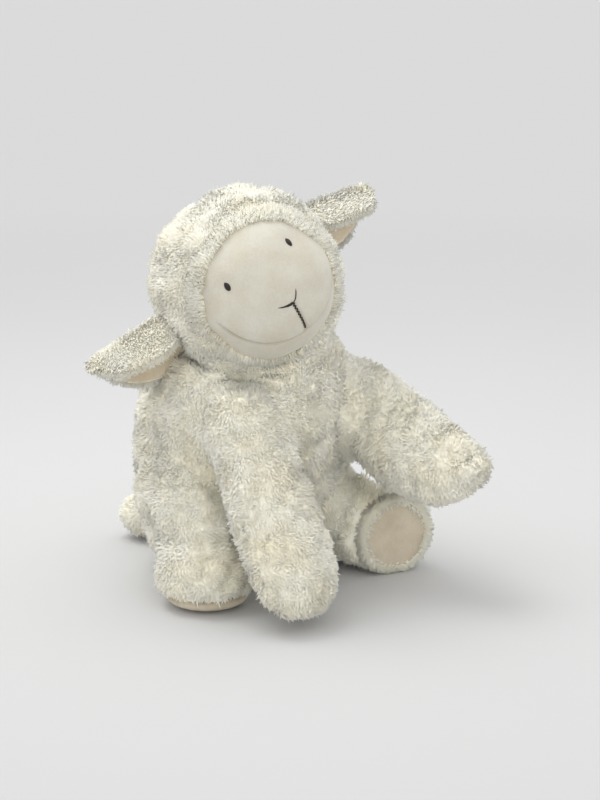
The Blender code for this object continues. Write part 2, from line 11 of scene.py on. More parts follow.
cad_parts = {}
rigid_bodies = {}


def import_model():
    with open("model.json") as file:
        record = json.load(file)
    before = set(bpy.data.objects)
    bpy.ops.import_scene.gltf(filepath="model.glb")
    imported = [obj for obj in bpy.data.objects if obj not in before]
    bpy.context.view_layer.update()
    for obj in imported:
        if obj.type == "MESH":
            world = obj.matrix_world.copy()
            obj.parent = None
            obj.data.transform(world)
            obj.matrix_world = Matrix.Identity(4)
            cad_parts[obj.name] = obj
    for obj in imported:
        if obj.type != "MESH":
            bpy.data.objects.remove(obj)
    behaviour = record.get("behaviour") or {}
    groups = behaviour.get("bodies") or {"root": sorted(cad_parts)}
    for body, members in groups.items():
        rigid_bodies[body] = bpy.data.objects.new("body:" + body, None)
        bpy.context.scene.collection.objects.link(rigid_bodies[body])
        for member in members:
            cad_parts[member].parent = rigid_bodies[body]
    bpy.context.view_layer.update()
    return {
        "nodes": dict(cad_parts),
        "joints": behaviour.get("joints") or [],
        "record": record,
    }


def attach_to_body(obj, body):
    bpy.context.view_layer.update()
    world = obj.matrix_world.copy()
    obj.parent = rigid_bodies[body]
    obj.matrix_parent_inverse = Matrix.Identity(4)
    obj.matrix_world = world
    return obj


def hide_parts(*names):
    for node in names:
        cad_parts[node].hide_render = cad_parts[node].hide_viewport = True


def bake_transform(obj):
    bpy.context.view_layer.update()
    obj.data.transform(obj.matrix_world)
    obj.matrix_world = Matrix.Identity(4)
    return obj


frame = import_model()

nodes = frame["nodes"]
joints = {joint["name"]: joint for joint in frame["joints"]}


# Small helpers

def hexColour(code):  # an sRGB hex colour as linear RGBA
    parts = [int(code[i:i + 2], 16) / 255 for i in (1, 3, 5)]
    return [p / 12.92 if p <= 0.04045 else ((p + 0.055) / 1.055) ** 2.4 for p in parts] + [1.0]


def addNode(tree, kind, settings=None, links=None):  # a node, its socket values and what feeds it
    node = tree.nodes.new(kind)
    for key, value in (settings or {}).items():
        if key in node.inputs and not hasattr(type(node), key):
            node.inputs[key].default_value = value
        else:
            setattr(node, key, value)
    for socket, source in (links or {}).items():
        tree.links.new(source, node.inputs[socket])
    return node


def newMaterial(name, shaderSettings):
    made = bpy.data.materials.new(name)
    made.use_nodes = True
    shader = made.node_tree.nodes["Principled BSDF"]
    for key, value in shaderSettings.items():
        shader.inputs[key].default_value = value
    return made, made.node_tree, shader


def pickOnly(*objects):
    bpy.ops.object.select_all(action="DESELECT")
    for obj in objects:
        obj.select_set(True)
    bpy.context.view_layer.objects.active = objects[0]


def applyModifier(obj, kind, **settings):
    pickOnly(obj)
    modifier = obj.modifiers.new(kind.lower(), kind)
    for key, value in settings.items():
        setattr(modifier, key, value)
    bpy.ops.object.modifier_apply(modifier=modifier.name)


def copyOfNode(name, nodeName):  # the solid's own mesh, copied and merged
    source = nodes[nodeName]
    copy = bpy.data.objects.new(name, source.data.copy())
    bpy.context.scene.collection.objects.link(copy)
    copy.data.materials.clear()
    pickOnly(copy)
    bpy.ops.object.mode_set(mode="EDIT")
    bpy.ops.mesh.select_all(action="SELECT")
    bpy.ops.mesh.remove_doubles(threshold=0.00002)
    bpy.ops.object.mode_set(mode="OBJECT")
    return copy


def joinInto(first, *others):
    pickOnly(first, *others)
    bpy.ops.object.join()
    return first


def smoothFaces(obj):
    pickOnly(obj)
    bpy.ops.object.shade_smooth()
    return obj


def points(obj):
    co = np.empty(len(obj.data.vertices) * 3)
    obj.data.vertices.foreach_get("co", co)
    return co.reshape(-1, 3)


def setPoints(obj, co):
    obj.data.vertices.foreach_set("co", np.asarray(co, dtype=np.float64).reshape(-1))
    obj.data.update()


def treeOf(objects):
    mesh = bmesh.new()
    for obj in objects:
        mesh.from_mesh(obj.data)
    tree = BVHTree.FromBMesh(mesh)
    mesh.free()
    return tree


def dropFaces(obj, chosen):  # deletes the faces that chosen(face) picks
    mesh = bmesh.new()
    mesh.from_mesh(obj.data)
    bmesh.ops.delete(mesh, geom=[f for f in mesh.faces if chosen(f)], context="FACES")
    mesh.to_mesh(obj.data)
    mesh.free()


# Materials

def fleeceMaterial(name, steps, cloudTone):  # knitted polyester sherpa, tumbled: matt curls, with painted shade that makes them darker and warmer in their depths
    made, tree, shader = newMaterial(name, {
        "Roughness": 0.9, "Specular IOR Level": 0.1, "Sheen Weight": 0.4, "Sheen Roughness": 0.4})
    place = addNode(tree, "ShaderNodeTexCoord")
    depth = addNode(tree, "ShaderNodeAttribute", {"attribute_name": "tipShare"})
    tone = addNode(tree, "ShaderNodeAttribute", {"attribute_name": "lockTone"})
    # painted shade: the ramp darkens and warms the colour from the tips down to the roots
    ramp = addNode(tree, "ShaderNodeValToRGB", links={"Fac": depth.outputs["Fac"]})
    ramp.color_ramp.elements[0].color = hexColour(steps[0][1])
    ramp.color_ramp.elements[1].color = hexColour(steps[-1][1])
    for at, code in steps[1:-1]:
        ramp.color_ramp.elements.new(at).color = hexColour(code)
    cloud = addNode(tree, "ShaderNodeTexNoise", {"Scale": 45.0, "Detail": 3.0},  # patches of about 20 mm
                    {"Vector": place.outputs["Object"]})
    soft = addNode(tree, "ShaderNodeMapRange", {"From Min": 0.4, "From Max": 0.7, "To Min": 0.0, "To Max": 0.4},
                   {"Value": cloud.outputs["Fac"]})
    patchy = addNode(tree, "ShaderNodeMix", {"data_type": "RGBA", "blend_type": "MULTIPLY"})
    patchy.inputs[7].default_value = hexColour(cloudTone)
    tree.links.new(soft.outputs["Result"], patchy.inputs[0])
    tree.links.new(ramp.outputs["Color"], patchy.inputs[6])
    each = addNode(tree, "ShaderNodeHueSaturation", links={"Color": patchy.outputs[2]})
    bright = addNode(tree, "ShaderNodeMapRange", {"To Min": 0.98, "To Max": 1.02}, {"Value": tone.outputs["Fac"]})
    tree.links.new(bright.outputs["Result"], each.inputs["Value"])
    tree.links.new(each.outputs["Color"], shader.inputs["Base Color"])
    return made


def velourMaterial(name, code, dark):  # polyester velour, sheared pile: a short even nap with a soft sheen
    made, tree, shader = newMaterial(name, {
        "Roughness": 0.85, "Specular IOR Level": 0.15, "Sheen Weight": 0.3, "Sheen Roughness": 0.5})
    place = addNode(tree, "ShaderNodeTexCoord")
    cloud = addNode(tree, "ShaderNodeTexNoise", {"Scale": 70.0, "Detail": 4.0},  # brushed patches of about 14 mm
                    {"Vector": place.outputs["Object"]})
    nap = addNode(tree, "ShaderNodeTexNoise", {"Scale": 700.0, "Detail": 3.0},  # nap, drawn at 1.4 mm so that it shows
                  {"Vector": place.outputs["Object"]})
    share = addNode(tree, "ShaderNodeMapRange", {"From Min": 0.35, "From Max": 0.65, "To Min": 0.0, "To Max": 1.0},
                    {"Value": cloud.outputs["Fac"]})
    mixed = addNode(tree, "ShaderNodeMix", {"data_type": "RGBA"})
    mixed.inputs[6].default_value = hexColour(code)
    mixed.inputs[7].default_value = hexColour(dark)
    tree.links.new(share.outputs["Result"], mixed.inputs[0])
    fine = addNode(tree, "ShaderNodeHueSaturation", links={"Color": mixed.outputs[2]})
    bright = addNode(tree, "ShaderNodeMapRange", {"From Min": 0.3, "From Max": 0.7, "To Min": 0.96, "To Max": 1.03},
                     {"Value": nap.outputs["Fac"]})
    tree.links.new(bright.outputs["Result"], fine.inputs["Value"])
    tree.links.new(fine.outputs["Color"], shader.inputs["Base Color"])
    bump = addNode(tree, "ShaderNodeBump", {"Strength": 0.3, "Distance": 0.0005}, {"Height": nap.outputs["Fac"]})
    tree.links.new(bump.outputs["Normal"], shader.inputs["Normal"])
    return made


def threadMaterial():  # rayon embroidery thread, twisted and laid in satin stitch: near black with a silky gloss
    made, tree, shader = newMaterial("rayonThread", {"Roughness": 0.42, "Specular IOR Level": 0.45})
    place = addNode(tree, "ShaderNodeTexCoord")
    twist = addNode(tree, "ShaderNodeTexNoise", {"Scale": 1500.0, "Detail": 2.0},  # plies of under 1 mm
                    {"Vector": place.outputs["Object"]})
    mixed = addNode(tree, "ShaderNodeMix", {"data_type": "RGBA"}, {0: twist.outputs["Fac"]})
    mixed.inputs[6].default_value = hexColour("#14100e")
    mixed.inputs[7].default_value = hexColour("#2c231d")
    tree.links.new(mixed.outputs[2], shader.inputs["Base Color"])
    bump = addNode(tree, "ShaderNodeBump", {"Strength": 0.4, "Distance": 0.0002}, {"Height": twist.outputs["Fac"]})
    tree.links.new(bump.outputs["Normal"], shader.inputs["Normal"])
    return made


# the ramp's first steps are painted shade, darker and warmer towards the roots
fleece = fleeceMaterial("sherpaFleece", [(0.0, "#fef3da"), (0.35, "#fef9e5"), (0.7, "#fefced"), (1.0, "#fefdf3")],
                        "#fdf6e4")
faceVelour = velourMaterial("faceVelour", "#cfccbf", "#c8c2b2")
soleVelour = velourMaterial("soleVelour", "#d0c5b0", "#c3b7a1")
liningVelour = velourMaterial("earLiningVelour", "#dccfb8", "#d0c2a8")
thread = threadMaterial()


# Stuffed forms: the knitted backing of the fleece, swollen by its stuffing, with the curls' lumps on it

stuffing = {"voxel": 0.004, "pressure": 4.0, "frames": 20, "cap": 0.002, "smooth": 4}
lumps = {"tries": 6, "edge": 0.85, "rollSize": 0.02, "roll": 0.0008, "matSize": 0.0026, "mat": 0.0005,
         "overFloor": 0.0005}


def largestIsland(obj):  # drops all but the largest connected part
    mesh = bmesh.new()
    mesh.from_mesh(obj.data)
    left, best = set(mesh.verts), []
    while left:
        reached, edge = set(), [left.pop()]
        while edge:
            vert = edge.pop()
            reached.add(vert)
            for link in vert.link_edges:
                other = link.other_vert(vert)
                if other in left:
                    left.discard(other)
                    edge.append(other)
        best = reached if len(reached) > len(best) else best
    bmesh.ops.delete(mesh, geom=[v for v in mesh.verts if v not in best], context="VERTS")
    mesh.to_mesh(obj.data)
    mesh.free()


def blowUp(obj, cap):  # cloth under pressure, with how far a point may move capped
    before = points(obj)
    pickOnly(obj)
    cloth = obj.modifiers.new("cloth", "CLOTH")
    cloth.settings.use_pressure = True
    cloth.settings.uniform_pressure_force = stuffing["pressure"]
    cloth.settings.effector_weights.gravity = 0
    cloth.point_cache.frame_end = stuffing["frames"] + 1
    for step in range(1, stuffing["frames"] + 1):
        bpy.context.scene.frame_set(step)
    bpy.ops.object.modifier_apply(modifier=cloth.name)
    bpy.context.scene.frame_set(1)
    moved = points(obj) - before
    far = np.linalg.norm(moved, axis=1, keepdims=True)
    setPoints(obj, before + moved * np.minimum(1, cap / np.maximum(far, 1e-9)))


def stuffedForm(name, nodeNames, inset):
    form = joinInto(*[copyOfNode(f"{name}_{i}", n) for i, n in enumerate(nodeNames)])
    form.name = name
    applyModifier(form, "REMESH", mode="VOXEL", voxel_size=stuffing["voxel"])
    largestIsland(form)
    applyModifier(form, "DISPLACE", strength=-inset, mid_level=0)
    applyModifier(form, "REMESH", mode="VOXEL", voxel_size=stuffing["voxel"])
    largestIsland(form)
    applyModifier(form, "SMOOTH", factor=0.5, iterations=stuffing["smooth"])
    blowUp(form, stuffing["cap"])
    applyModifier(form, "SUBSURF", levels=1, render_levels=1)
    return smoothFaces(form)


def normalsOf(obj):
    normal = np.empty(len(obj.data.vertices) * 3)
    obj.data.vertices.foreach_get("normal", normal)
    return normal.reshape(-1, 3)


def unit(v):
    return v / np.maximum(np.linalg.norm(v, axis=1, keepdims=True), 1e-12)


def swirl(co, size, seed):  # a smooth field of directions that changes over the given size
    turn = co / size * 2 * math.pi
    x, y, z = turn[:, 0] + seed, turn[:, 1] + 1.7 * seed, turn[:, 2] + 2.3 * seed
    return np.stack([np.sin(y * 0.9 + np.sin(z)), np.sin(z * 1.1 + np.sin(x * 0.7)),
                     np.sin(x * 0.8 + np.sin(y * 1.3))], axis=1)


def scatter(obj, count, chance):  # points and normals spread evenly by area
    mesh = obj.data
    mesh.calc_loop_triangles()
    tri = np.empty(len(mesh.loop_triangles) * 3, np.int64)
    mesh.loop_triangles.foreach_get("vertices", tri)
    tri = tri.reshape(-1, 3)
    co, normal = points(obj), normalsOf(obj)
    a, b, c = co[tri[:, 0]], co[tri[:, 1]], co[tri[:, 2]]
    area = np.linalg.norm(np.cross(b - a, c - a), axis=1)
    edges = np.cumsum(area) / area.sum()
    pick = np.searchsorted(edges, (np.arange(count) + chance.random(count)) / count)
    pick = np.minimum(pick, len(tri) - 1)
    s, t = chance.random(count), chance.random(count)
    over = s + t > 1
    s[over], t[over] = 1 - s[over], 1 - t[over]
    weights = np.stack([1 - s - t, s, t], axis=1)[:, :, None]
    return (co[tri[pick]] * weights).sum(1), unit((normal[tri[pick]] * weights).sum(1))


def finderFor(co):
    finder = KDTree(len(co))
    for i, at in enumerate(co):
        finder.insert(at, i)
    finder.balance()
    return finder


def spaced(co, gap):  # picks that keep at least the gap between them
    grid, kept = {}, []
    for i, at in enumerate(co):
        cell = tuple((at / gap).astype(int))
        near = [j for x in (-1, 0, 1) for y in (-1, 0, 1) for z in (-1, 0, 1)
                for j in grid.get((cell[0] + x, cell[1] + y, cell[2] + z), ())]
        if all(np.dot(co[j] - at, co[j] - at) > gap * gap for j in near):
            grid.setdefault(cell, []).append(i)
            kept.append(i)
    return kept


def setShares(obj, tipShare, lockTone):  # the attributes that the fleece's material reads
    for label, value in (("tipShare", tipShare), ("lockTone", lockTone)):
        layer = obj.data.attributes.new(label, "FLOAT", "POINT")
        layer.data.foreach_set("value", np.asarray(value, np.float32))


def raiseLumps(form, coat):  # rounded lumps where the curls mat together, with painted shade in the hollows between them
    chance = np.random.default_rng(coat["seed"] + 100)
    area = sum(face.area for face in form.data.polygons)
    centre, _ = scatter(form, int(area / coat["lumpSize"] ** 2 * lumps["tries"]), chance)
    centre = centre[spaced(centre, coat["lumpSize"])]
    finder = finderFor(centre)
    co, normal = points(form), normalsOf(form)
    far = np.array([finder.find(at)[2] for at in co]) / coat["lumpSize"]
    rise = np.clip(1 - (far / lumps["edge"]) ** 2, 0, 1)
    rolled = np.array([noise.noise(Vector(at) / lumps["rollSize"]) for at in co])
    matted = np.array([noise.noise(Vector(at) / lumps["matSize"]) for at in co])
    co = co + normal * (coat["lumpRise"] * (rise - 0.5) + lumps["roll"] * rolled + lumps["mat"] * matted)[:, None]
    co[:, 2] = np.maximum(co[:, 2], lumps["overFloor"])
    setPoints(form, co)
    # painted shade: the hollows between lumps take the ramp's darker, warmer colour
    setShares(form, 0.25 + 0.45 * rise + 0.15 * matted, np.full(len(co), 0.5))
    form.data.materials.clear()
    form.data.materials.append(fleece)


def attach(piece, body, seamOf=None):  # rides on its body, or, given a seam, stays unparented with its placement baked in
    if seamOf is None:
        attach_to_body(piece, body)
    else:
        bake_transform(piece)


# Curls: short bent tufts of pile, wide at the root and drawn to a point

tuft = {"bend": 0.45, "point": 0.6, "waist": 0.8, "sunk": 0.0006, "overFloor": 0.0004, "gather": 1.12}
tuftRoom = {"look": 1.3, "press": 1.1, "overFloor": 0.0007, "atSeam": 0.003, "seamGap": 0.0008}
overSole = {"near": 0.009, "turned": 1.3, "facing": 0.75, "above": 0.008}  # a leg's tufts round the edge of its sole


def growCurls(name, ground, coat, blockers, body, seamOf=None, inside=()):
    chance = np.random.default_rng(coat["seed"])
    area = sum(face.area for face in ground.data.polygons)
    root, normal = scatter(ground, int(area * 1e6 * coat["perSqMm"]), chance)
    comb = np.array(coat["comb"])[None, :]
    if "edge" in coat:  # brushed over the edge of a sole
        soleAt, soleOut = coat["edge"]
        close = np.clip(1 - np.abs((root - soleAt) @ soleOut) / overSole["near"], 0, 1)[:, None]
        comb = comb * (1 - close) + soleOut * close * overSole["turned"]
    comb = comb - normal * (comb * normal).sum(1, keepdims=True)
    wave = swirl(root, coat["swirlSize"], coat["seed"]) + chance.normal(0, coat["stray"], root.shape)
    wave = wave - normal * (wave * normal).sum(1, keepdims=True)
    length = coat["length"] * (0.75 + 0.4 * chance.random(len(root)))
    isLong = chance.random(len(root)) < coat["long"]
    length *= np.where(isLong, coat["longer"], 1)
    stand = coat["stand"] + coat["upright"] * isLong[:, None]

    # how far a tuft may reach before it meets another piece, except round the seam of its own joint
    room = np.full(len(root), 1.0)
    seams = np.array([joint["pos_m"] for joint in frame["joints"] if body in (joint["parent"], joint["child"])])
    away = np.min([np.linalg.norm(root - at, axis=1) for at in seams], axis=0)
    for i, (at, up) in enumerate(zip(root, normal)):
        hit = blockers.ray_cast(Vector(at), Vector(up), coat["length"] * tuftRoom["look"])
        if hit[0] is not None:
            atSeam = away[i] < coat["seamReach"] and hit[3] > tuftRoom["seamGap"]
            room[i] = max(hit[3], tuftRoom["atSeam"] if atSeam else 0)
        for tree in inside:  # buried under a neighbouring form
            near = tree.find_nearest(Vector(at))
            if (Vector(at) - near[0]).dot(near[1]) < -coat["buried"]:
                room[i] = 0
    length = np.minimum(length, room * tuftRoom["press"])
    keep = (length > coat["shortest"]) & (root[:, 2] > tuftRoom["overFloor"])
    if "edge" in coat:  # none under the sole
        above = (soleAt - root) @ soleOut
        keep &= (normal @ soleOut < overSole["facing"]) | (above > overSole["above"])
    if "bare" in coat:  # nor on the band next to it
        keep &= above > coat["bare"]
    comb = np.broadcast_to(comb, root.shape)[keep]
    root, normal, wave, length, stand = root[keep], normal[keep], wave[keep], length[keep][:, None], stand[keep]
    count = len(root)

    # each tuft stands up, bends over towards its point, and leans to its neighbours
    first = unit(normal + comb * 0.4 + wave * 0.25)
    second = unit(normal * stand + comb + unit(wave) * coat["swirl"])
    middle = root + first * length * tuft["bend"]
    tip = middle + second * length * tuft["point"]
    centre, _ = scatter(ground, int(area / coat["tuftSize"] ** 2), chance)
    finder = finderFor(centre)
    lock = np.array([finder.find(at)[1] for at in root])
    summed = np.zeros_like(centre)
    many = np.zeros(len(centre))
    np.add.at(summed, lock, tip - root)
    np.add.at(many, lock, 1)
    gather = centre[lock] + summed[lock] / np.maximum(many[lock], 1)[:, None] * tuft["gather"]
    pull = coat["tuftPull"] * (0.5 + 0.7 * chance.random((count, 1)))
    tip = tip + (gather - tip) * pull
    middle = middle + (gather - middle) * pull * 0.2

    side = unit(np.cross(tip - root, chance.normal(0, 1, root.shape)))
    other = unit(np.cross(tip - root, side))
    thick = (coat["thickness"] * (0.7 + 0.6 * chance.random(count)))[:, None]
    verts = np.empty((count, 7, 3))
    for corner in range(3):
        angle = corner * 2 * math.pi / 3
        out = side * math.cos(angle) + other * math.sin(angle)
        verts[:, corner] = root - normal * tuft["sunk"] + out * thick
        verts[:, 3 + corner] = middle + out * thick * tuft["waist"]
    verts[:, 6] = tip
    verts[:, :, 2] = np.maximum(verts[:, :, 2], tuft["overFloor"])

    faces = [(k, (k + 1) % 3, 3 + (k + 1) % 3, 3 + k) for k in range(3)]
    faces += [(3 + k, 3 + (k + 1) % 3, 6) for k in range(3)] + [(2, 1, 0)]
    corners = np.array([i for face in faces for i in face])
    sizes = np.array([len(face) for face in faces])
    acrossU = [(k, k + 1, k + 1, k) for k in range(3)] + [(k, k + 1, k + 0.5) for k in range(3)] + [(2, 1, 0)]
    alongV = [(1, 1, 5, 5)] * 3 + [(5, 5, 9)] * 3 + [(0.2, 0.8, 0.2)]
    u = np.array([v for face in acrossU for v in face]) * 0.28 + 0.08
    v = np.array([v for face in alongV for v in face]) * 0.1
    # painted shade: each tuft's roots take the ramp's darker, warmer colour, its tip the lightest
    rootShadeShares = np.array([0.2] * 3 + [0.65] * 3 + [1.0])
    tone = 0.5 * chance.random(count) + 0.5 * chance.random(len(centre))[lock]
    pieces = math.ceil(count / coat["perPiece"])
    for part in range(pieces):
        own = np.arange(part, count, pieces)
        mesh = bpy.data.meshes.new(f"{name}_{part + 1}")
        mesh.vertices.add(len(own) * 7)
        mesh.vertices.foreach_set("co", verts[own].reshape(-1))
        mesh.loops.add(len(own) * len(corners))
        index = corners[None, :] + np.arange(len(own))[:, None] * 7
        mesh.loops.foreach_set("vertex_index", index.reshape(-1).astype(np.int32))
        mesh.polygons.add(len(own) * len(sizes))
        starts = np.concatenate([[0], np.cumsum(np.tile(sizes, len(own)))[:-1]])
        mesh.polygons.foreach_set("loop_start", starts.astype(np.int32))
        mesh.update(calc_edges=True)
        across = math.ceil(math.sqrt(len(own)))  # each tuft has its own cell of the map
        cell = np.arange(len(own))[:, None]
        places = np.stack([(cell % across + u[None, :]) / across, (cell // across + v[None, :]) / across], axis=2)
        mesh.uv_layers.new(name="OFBake").data.foreach_set("uv", places.reshape(-1).astype(np.float32))
        curls = bpy.data.objects.new(mesh.name, mesh)
        bpy.context.scene.collection.objects.link(curls)
        setShares(curls, np.tile(rootShadeShares, len(own)), np.repeat(tone[own], 7))
        mesh.materials.append(fleece)
        smoothFaces(curls)
        soft = unit(np.repeat(normal[own], 7, axis=0) * (1 - coat["crisp"]) + normalsOf(curls) * coat["crisp"])
        mesh.normals_split_custom_set_from_vertices(soft)
        attach(curls, body, seamOf)
    print(name, "tufts", count, "in", pieces)


coatDefaults = {"perSqMm": 0.58, "length": 0.0031, "shortest": 0.0012, "long": 0.10, "longer": 1.5,
                "thickness": 0.00067, "stand": 0.5, "upright": 0.5, "comb": (0, 0, -0.2), "swirl": 0.38,
                "swirlSize": 0.03, "stray": 0.45, "tuftSize": 0.0030, "tuftPull": 0.3, "crisp": 0.22,
                "buried": 0.0012, "seamReach": 0.036, "perPiece": 19500,
                "inset": 0.0009, "lumpSize": 0.0105, "lumpRise": 0.0027}
coats = {
    "body": {"nodes": ("body_fleece", "body_stuffing", "seat_bean_bag"), "body": "torso", "seed": 3},
    "head": {"nodes": ("head_fleece", "head_stuffing"), "body": "head", "seed": 5, "comb": (0.05, 0.1, -0.1),
             "lumpSize": 0.015, "lumpRise": 0.0036, "inset": 0.0014, "perSqMm": 0.66},
    "left_arm": {"nodes": ("left_arm_fleece", "left_arm_stuffing"), "body": "left_arm", "seed": 7,
                 "comb": (0.1, -0.25, -0.35), "inset": 0.0026, "flatEnd": 0.009},
    "right_arm": {"nodes": ("right_arm_fleece", "right_arm_stuffing"), "body": "right_arm", "seed": 11,
                  "comb": (0.05, -0.2, -0.4), "inset": 0.0032},
    "left_leg": {"nodes": ("left_leg_fleece", "left_leg_stuffing"), "body": "left_leg", "seed": 13,
                 "comb": (0.3, 0.15, -0.15), "stand": 0.8, "crisp": 0.5},
    "right_leg": {"nodes": ("right_leg_fleece", "right_leg_stuffing"), "body": "right_leg", "seed": 17,
                  "comb": (0, -0.1, -0.35), "bare": 0.0065,
                  "ankle": {"up": 0.040, "depth": 0.0045, "width": 0.006, "radius": 0.03}},
    "tail": {"nodes": ("tail_fleece", "tail_stuffing"), "body": "tail", "seed": 19, "comb": (0, 0.3, -0.2)},
}
paw = {"over": 0.012, "thickness": 0.03, "from": 0.45}
bodyNodes = frame["record"]["behaviour"]["bodies"]


def flattenEnd(form, start, rise):  # the underside of a paw, drawn up towards its end
    co = points(form)
    along = co.mean(axis=0) - start
    run = (co - start) @ along / (along @ along) / 2
    low = np.clip((co.mean(axis=0)[2] + paw["over"] - co[:, 2]) / paw["thickness"], 0, 1)
    t = np.clip((run - paw["from"]) / paw["from"], 0, 1)
    co[:, 2] += rise * low * t * t * (3 - 2 * t)
    setPoints(form, co)


def drawAnkle(form, at, out, ankle):  # a crease pulled in above the foot
    co = points(form)
    up = (at - co) @ out
    axis = at - out * up[:, None]
    pull = np.exp(-((up - ankle["up"]) / ankle["width"]) ** 2)
    co += (axis - co) * (ankle["depth"] / ankle["radius"] * pull)[:, None]
    setPoints(form, co)


def soleEdge(nodeName):  # the sole's middle and the way it faces
    co = points(nodes[nodeName])
    middle = co.mean(axis=0)
    out = np.linalg.svd(co - middle, full_matrices=False)[2][2]
    leg = points(nodes[nodeName.replace("_sole", "_leg_stuffing")]).mean(axis=0)
    return middle, out * np.sign(out @ (middle - leg))


forms, formTrees = {}, {}

for label, own in coats.items():
    coat = {**coatDefaults, **own}
    form = stuffedForm(label + "_coat", coat["nodes"], coat["inset"])
    if "flatEnd" in coat:
        flattenEnd(form, np.array(joints["left_shoulder_lift"]["pos_m"]), coat["flatEnd"])
    if label.endswith("_leg"):
        coat["edge"] = soleEdge(label.replace("_leg", "_sole"))
    if "ankle" in coat:
        drawAnkle(form, *coat["edge"], coat["ankle"])
    raiseLumps(form, coat)
    others = [nodes[n] for body, members in bodyNodes.items() if body != coat["body"] for n in members]
    growCurls(label + "_curls", form, coat, treeOf(others), coat["body"])
    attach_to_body(form, coat["body"])
    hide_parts(*coat["nodes"])
    forms[label], formTrees[label] = form, treeOf([form])


# Fleece sewn over the limbs' seams, so that arm and body run into each other

seamPatches = {
    "left_shoulder": {"joint": "left_shoulder_lift", "limb": "left_arm", "reach": 0.043, "into": 0.020, "seed": 41},
    "right_shoulder": {"joint": "right_shoulder_lift", "limb": "right_arm", "reach": 0.043, "into": 0.020, "seed": 43},
    "left_hip": {"joint": "left_hip_splay", "limb": "left_leg", "reach": 0.043, "into": 0.020, "seed": 47},
    "right_hip": {"joint": "right_hip_splay", "limb": "right_leg", "reach": 0.050, "into": 0.020, "seed": 53},
    "neck": {"joint": "neck_tilt", "limb": "head", "reach": 0.056, "into": 0.026, "back": 0.012, "seed": 59},
}
patchSheet = {"voxel": 0.003, "swell": 0.009, "sunk": 0.0006, "smooth": 12, "fineVoxel": 0.0022, "fineSmooth": 6,
              "overFloor": 0.001, "back": 0.008, "buried": 0.02, "perSqMm": 0.5, "comb": 0.3}


def sewnPatch(name, own):  # the two coats' common skin near their joint, merged and smoothed across it
    joint = joints[own["joint"]]
    centre = Vector(joint["pos_m"])
    copies = []
    for label in ("body", own["limb"]):
        copy = forms[label].copy()
        copy.data = forms[label].data.copy()
        for key in list(copy.keys()):
            del copy[key]
        copy.parent = None
        bpy.context.scene.collection.objects.link(copy)
        copies.append(copy)
    patch = joinInto(*copies)
    patch.name = name
    patch.data.materials.clear()
    applyModifier(patch, "REMESH", mode="VOXEL", voxel_size=patchSheet["voxel"])
    applyModifier(patch, "DISPLACE", strength=patchSheet["swell"], mid_level=0)
    applyModifier(patch, "REMESH", mode="VOXEL", voxel_size=patchSheet["voxel"])
    largestIsland(patch)
    applyModifier(patch, "DISPLACE", strength=-patchSheet["swell"] - patchSheet["sunk"], mid_level=0)
    applyModifier(patch, "SMOOTH", factor=0.5, iterations=patchSheet["smooth"])
    applyModifier(patch, "REMESH", mode="VOXEL", voxel_size=patchSheet["voxel"])
    bpy.ops.object.select_all(action="DESELECT")
    bpy.ops.mesh.primitive_ico_sphere_add(subdivisions=5, radius=own["reach"], location=centre)
    ball = bpy.context.object
    applyModifier(patch, "BOOLEAN", operation="INTERSECT", solver="EXACT", object=ball)
    bpy.data.objects.remove(ball)
    applyModifier(patch, "REMESH", mode="VOXEL", voxel_size=patchSheet["fineVoxel"])
    largestIsland(patch)
    applyModifier(patch, "SMOOTH", factor=0.5, iterations=patchSheet["fineSmooth"])
    co = points(patch)
    co[:, 2] = np.maximum(co[:, 2], patchSheet["overFloor"])
    setPoints(patch, co)
    smoothFaces(patch)
    way = (Vector(np.mean(points(forms[own["limb"]]), axis=0)) - centre).normalized()
    seamOf = (joint, centre - way * own.get("back", patchSheet["back"]), centre + way * own["into"])
    coat = {**coatDefaults, "seed": own["seed"], "comb": tuple(way * patchSheet["comb"]),
            "buried": patchSheet["buried"], "perSqMm": patchSheet["perSqMm"]}
    others = [nodes[n] for body, members in bodyNodes.items() if body not in (joint["parent"], joint["child"])
              for n in members]
    covered = [formTrees[label] for label in ("body", own["limb"])]
    growCurls(name + "_curls", patch, coat, treeOf(others), joint["child"], seamOf, covered)
    setShares(patch, np.full(len(patch.data.vertices), 0.5), np.full(len(patch.data.vertices), 0.5))
    patch.data.materials.append(fleece)
    attach(patch, joint["child"], seamOf)


for name, own in seamPatches.items():
    sewnPatch(name + "_fleece", own)
print("seams covered")


# Face: a velour dome, parted by the mouth seam from the chin

face = {"turn": 21.0, "pitch": 6.0, "roll": 31.5, "rise": 0.036, "forward": 0.022,
        "half": (0.047, 0.045, 0.0465), "mouthForward": 0.0345, "mouthDrop": 0.030, "mouthSlope": 72.0,
        "eyeSpread": {"left": 32.0, "right": 39.0}, "eyeRaise": 28.0, "noseDrop": 9.0, "lipLength": 26.0,
        "backEdge": -0.014, "radius": 0.0455, "seam": 0.00005}
relief = {"eye": {"depth": 0.0011, "width": 0.006, "radius": 0.046},
          "bridge": {"depth": 0.0013, "width": 0.011, "up": 0.016},
          "muzzle": {"depth": 0.0012, "width": 0.0055, "up": 0.0075},
          "mouth": {"depth": 0.0062, "width": 0.0014}, "chin": {"depth": 0.0018, "width": 0.0025},
          "stem": {"depth": 0.0012, "width": 0.0016}, "besideStem": {"depth": 0.0007, "width": 0.006},
          "uneven": {"depth": 0.0006, "width": 0.017}}
neck = Vector(joints["neck_tilt"]["pos_m"])
headPlace = (Matrix.Translation(neck) @ Matrix.Rotation(math.radians(-face["turn"]), 4, "Z")
             @ Matrix.Rotation(math.radians(-face["pitch"]), 4, "X")
             @ Matrix.Rotation(math.radians(-face["roll"]), 4, "Y"))
facePlace = headPlace @ Matrix.Translation((0, -face["forward"], face["rise"]))
mouthSlope = math.radians(face["mouthSlope"])
